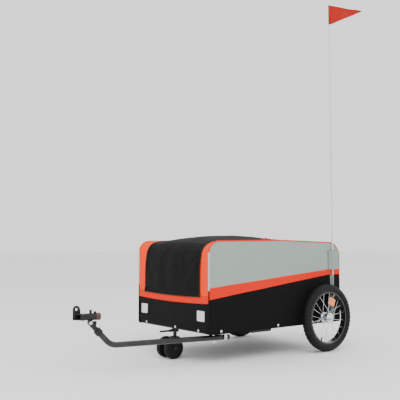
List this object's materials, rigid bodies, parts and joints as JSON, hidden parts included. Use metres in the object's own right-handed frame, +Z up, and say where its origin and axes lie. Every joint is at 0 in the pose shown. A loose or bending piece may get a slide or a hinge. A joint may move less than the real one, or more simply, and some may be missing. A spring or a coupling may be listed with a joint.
{
  "type": "bicycle cargo trailer",
  "caption": "Two-wheeled bicycle trailer with a fabric cargo box under an opening cover, side tow bar with axle coupler, swivelling front caster and safety flag.",
  "frame": {"origin": "on the ground, in the middle of the length and width of the whole trailer with its tow bar and flag", "axes": "+X forwards towards the bicycle, +Y to the left of travel, +Z up"},
  "size_m": [1.4453, 0.6644, 1.644],
  "materials": {
    "frame_black": "satin black powder coat",
    "zinc": "bright zinc plate",
    "panel_grey": "woven polyester, sage grey with black and orange bands",
    "fabric_black": "coated black polyester",
    "fabric_orange": "orange polyester binding",
    "reflector_silver": "silver prismatic reflector",
    "reflector_red": "red prismatic reflector",
    "reflector_amber": "amber prismatic reflector",
    "floor": "textured black board",
    "tyre": "moulded tread",
    "rim_black": "black enamel",
    "chrome": "polished",
    "hub_silver": "polished alloy",
    "plastic_black": "moulded nylon",
    "cap_red": "dark red moulded cap",
    "strap_silver": "silver grey webbing",
    "pole_white": "white fibreglass",
    "flag_orange": "orange red nylon",
    "caster_rubber": "moulded"
  },
  "bodies": {
    "chassis": {"axle_nuts": "zinc", "axle_plates": "frame_black", "axles": "zinc", "bar_clips": "plastic_black", "caster_clamp": "plastic_black", "cover_bars": "frame_black", "cover_borders": "fabric_orange", "cross_rails": "frame_black", "flag_pockets": "strap_silver", "floor_board": "floor", "frame_bolts": "zinc", "front_panel": "fabric_black", "front_rail": "frame_black", "front_reflectors": "reflector_silver", "panel_screws": "zinc", "pivot_bolt": "zinc", "pivot_bush": "plastic_black", "rear_panel": "fabric_black", "rear_reflectors": "reflector_red", "side_hoop_left": "frame_black", "side_hoop_right": "frame_black", "side_panel_left": "panel_grey", "side_panel_right": "panel_grey", "side_rail_left": "frame_black", "side_rail_right": "frame_black", "skid_blocks": "plastic_black", "towbar_bracket": "frame_black", "towbar_hook": "zinc"},
    "wheel_left": {"tyre_left": "tyre", "rim_left": "rim_black", "spokes_left": "chrome", "hub_left": "hub_silver", "bearings_left": "zinc", "valve_left": "plastic_black", "wheel_reflector_left": "reflector_amber"},
    "wheel_right": {"tyre_right": "tyre", "rim_right": "rim_black", "spokes_right": "chrome", "hub_right": "hub_silver", "bearings_right": "zinc", "valve_right": "plastic_black", "wheel_reflector_right": "reflector_amber"},
    "cover": {"cover": "fabric_black"},
    "flag_pole": {"pole_lower": "pole_white", "pole_ferrule": "hub_silver", "pole_upper": "pole_white", "pennant": "flag_orange"},
    "caster_post": {"caster_post": "frame_black"},
    "caster_lever": {"caster_lever": "plastic_black"},
    "caster_fork": {"caster_fork": "plastic_black", "caster_axle": "zinc"},
    "caster_wheel_left": {"caster_wheel_left": "caster_rubber"},
    "caster_wheel_right": {"caster_wheel_right": "caster_rubber"},
    "towbar": {"towbar_tube": "frame_black"},
    "hitch_yoke": {"hitch_yoke": "frame_black", "pitch_pin": "zinc"},
    "hitch_barrel": {"hitch_barrel": "frame_black", "barrel_cap": "cap_red"},
    "axle_bracket": {"axle_bracket": "frame_black"},
    "hitch_pin": {"hitch_pin": "zinc"}
  },
  "joints": [
    {"name": "wheel_left_spin", "type": "hinge", "parent": "chassis", "child": "wheel_left", "pos_m": [-0.45044, 0.3, 0.1525], "axis": [0, 1, 0], "continuous": true},
    {"name": "wheel_right_spin", "type": "hinge", "parent": "chassis", "child": "wheel_right", "pos_m": [-0.45044, -0.3, 0.1525], "axis": [0, 1, 0], "continuous": true},
    {"name": "cover_open", "type": "hinge", "parent": "chassis", "child": "cover", "pos_m": [-0.51244, 0, 0.49523], "axis": [0, -1, 0], "range_deg": [0, 110]},
    {"name": "flag_pole_lift", "type": "slide", "parent": "chassis", "child": "flag_pole", "axis": [0, 0, 1], "range_m": [0, 0.3]},
    {"name": "caster_drop", "type": "slide", "parent": "chassis", "child": "caster_post", "axis": [0, 0, -1], "range_m": [0, 0.025]},
    {"name": "caster_lever_swing", "type": "hinge", "parent": "chassis", "child": "caster_lever", "pos_m": [0.21456, 0, 0.116], "axis": [0, 0, 1], "range_deg": [0, 90]},
    {"name": "caster_swivel", "type": "hinge", "parent": "caster_post", "child": "caster_fork", "pos_m": [0.18956, 0, 0.092], "axis": [0, 0, 1], "continuous": true},
    {"name": "caster_wheel_left_spin", "type": "hinge", "parent": "caster_fork", "child": "caster_wheel_left", "pos_m": [0.21656, 0.029, 0.045], "axis": [0, 1, 0], "continuous": true},
    {"name": "caster_wheel_right_spin", "type": "hinge", "parent": "caster_fork", "child": "caster_wheel_right", "pos_m": [0.21656, -0.029, 0.045], "axis": [0, 1, 0], "continuous": true},
    {"name": "towbar_swing", "type": "hinge", "parent": "chassis", "child": "towbar", "pos_m": [0.15456, 0.226, 0.1065], "axis": [0, 0, 1], "range_deg": [0, 135]},
    {"name": "hitch_roll", "type": "hinge", "parent": "towbar", "child": "hitch_yoke", "pos_m": [0.66608, 0.12193, 0.19505], "axis": [0.6658, -0.1355, 0.7337], "range_deg": [-45, 45]},
    {"name": "hitch_pitch", "type": "hinge", "parent": "hitch_yoke", "child": "hitch_barrel", "pos_m": [0.66608, 0.12193, 0.19505], "axis": [0.1994, 0.9799, 0], "range_deg": [-15, 40]},
    {"name": "hitch_yaw", "type": "hinge", "parent": "hitch_barrel", "child": "axle_bracket", "pos_m": [0.69156, 0.11675, 0.2175], "axis": [0, 0, 1], "range_deg": [-50, 50]},
    {"name": "hitch_pin_pull", "type": "slide", "parent": "axle_bracket", "child": "hitch_pin", "axis": [0, 0, 1], "range_m": [0, 0.04]}
  ]
}
